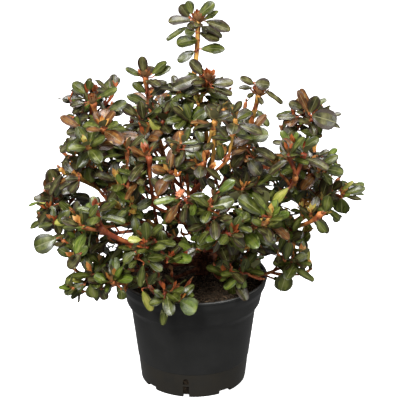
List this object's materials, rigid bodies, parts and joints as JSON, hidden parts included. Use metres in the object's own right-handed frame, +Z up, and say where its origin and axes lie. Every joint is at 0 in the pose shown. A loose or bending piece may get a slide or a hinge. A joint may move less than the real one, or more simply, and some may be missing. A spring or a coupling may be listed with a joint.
{
  "type": "azalea shrub",
  "caption": "Evergreen azalea shrub with open branching and whorls of blunt leaves, rooted in the soil of a round black nursery pot with drain slots.",
  "frame": {"origin": "centre of the pot's flat underside", "axes": "+Z up, +X to the right seen from the front, -Y towards the front"},
  "size_m": [0.4427, 0.3867, 0.5306],
  "materials": {
    "pot_plastic": "black injection-moulded plastic, satin, slightly dusty near the foot",
    "potting_soil": "dark brown moist peat and bark fibre",
    "old_bark": "dark red-brown bark",
    "young_bark": "red-orange young bark",
    "azalea_leaf": "glossy dark green leaves"
  },
  "bodies": {
    "root": {"pot": "pot_plastic", "soil": "potting_soil", "trunk": "old_bark", "bough_upper_centre": "old_bark", "bough_crown_spire": "young_bark", "bough_upper_right": "young_bark", "bough_right_spire": "young_bark", "bough_upper_left": "old_bark", "bough_second_spire": "young_bark", "bough_left_crown": "young_bark", "bough_left_middle": "old_bark", "bough_far_left": "young_bark", "bough_left_low": "old_bark", "bough_left_inner": "old_bark", "bough_left_foot": "old_bark", "bough_front_left": "young_bark", "bough_front_centre": "old_bark", "bough_front_high": "old_bark", "bough_front_low": "old_bark", "bough_front_right": "old_bark", "bough_front_pot": "old_bark", "bough_right_foot": "old_bark", "bough_right_low": "old_bark", "bough_far_right": "young_bark", "bough_right_middle": "old_bark", "bough_right_crown": "young_bark", "bough_back_left": "old_bark", "bough_back_right": "old_bark", "bough_back_low_left": "old_bark", "bough_back_low_right": "old_bark", "bough_back_low": "old_bark", "leaves_upper_centre": "azalea_leaf", "leaves_crown_spire": "azalea_leaf", "leaves_upper_right": "azalea_leaf", "leaves_right_spire": "azalea_leaf", "leaves_upper_left": "azalea_leaf", "leaves_second_spire": "azalea_leaf", "leaves_left_crown": "azalea_leaf", "leaves_left_middle": "azalea_leaf", "leaves_far_left": "azalea_leaf", "leaves_left_low": "azalea_leaf", "leaves_left_inner": "azalea_leaf", "leaves_left_foot": "azalea_leaf", "leaves_front_left": "azalea_leaf", "leaves_front_centre": "azalea_leaf", "leaves_front_high": "azalea_leaf", "leaves_front_low": "azalea_leaf", "leaves_front_right": "azalea_leaf", "leaves_front_pot": "azalea_leaf", "leaves_right_foot": "azalea_leaf", "leaves_right_low": "azalea_leaf", "leaves_far_right": "azalea_leaf", "leaves_right_middle": "azalea_leaf", "leaves_right_crown": "azalea_leaf", "leaves_back_left": "azalea_leaf", "leaves_back_right": "azalea_leaf", "leaves_back_low_left": "azalea_leaf", "leaves_back_low_right": "azalea_leaf", "leaves_back_low": "azalea_leaf"}
  },
  "joints": []
}
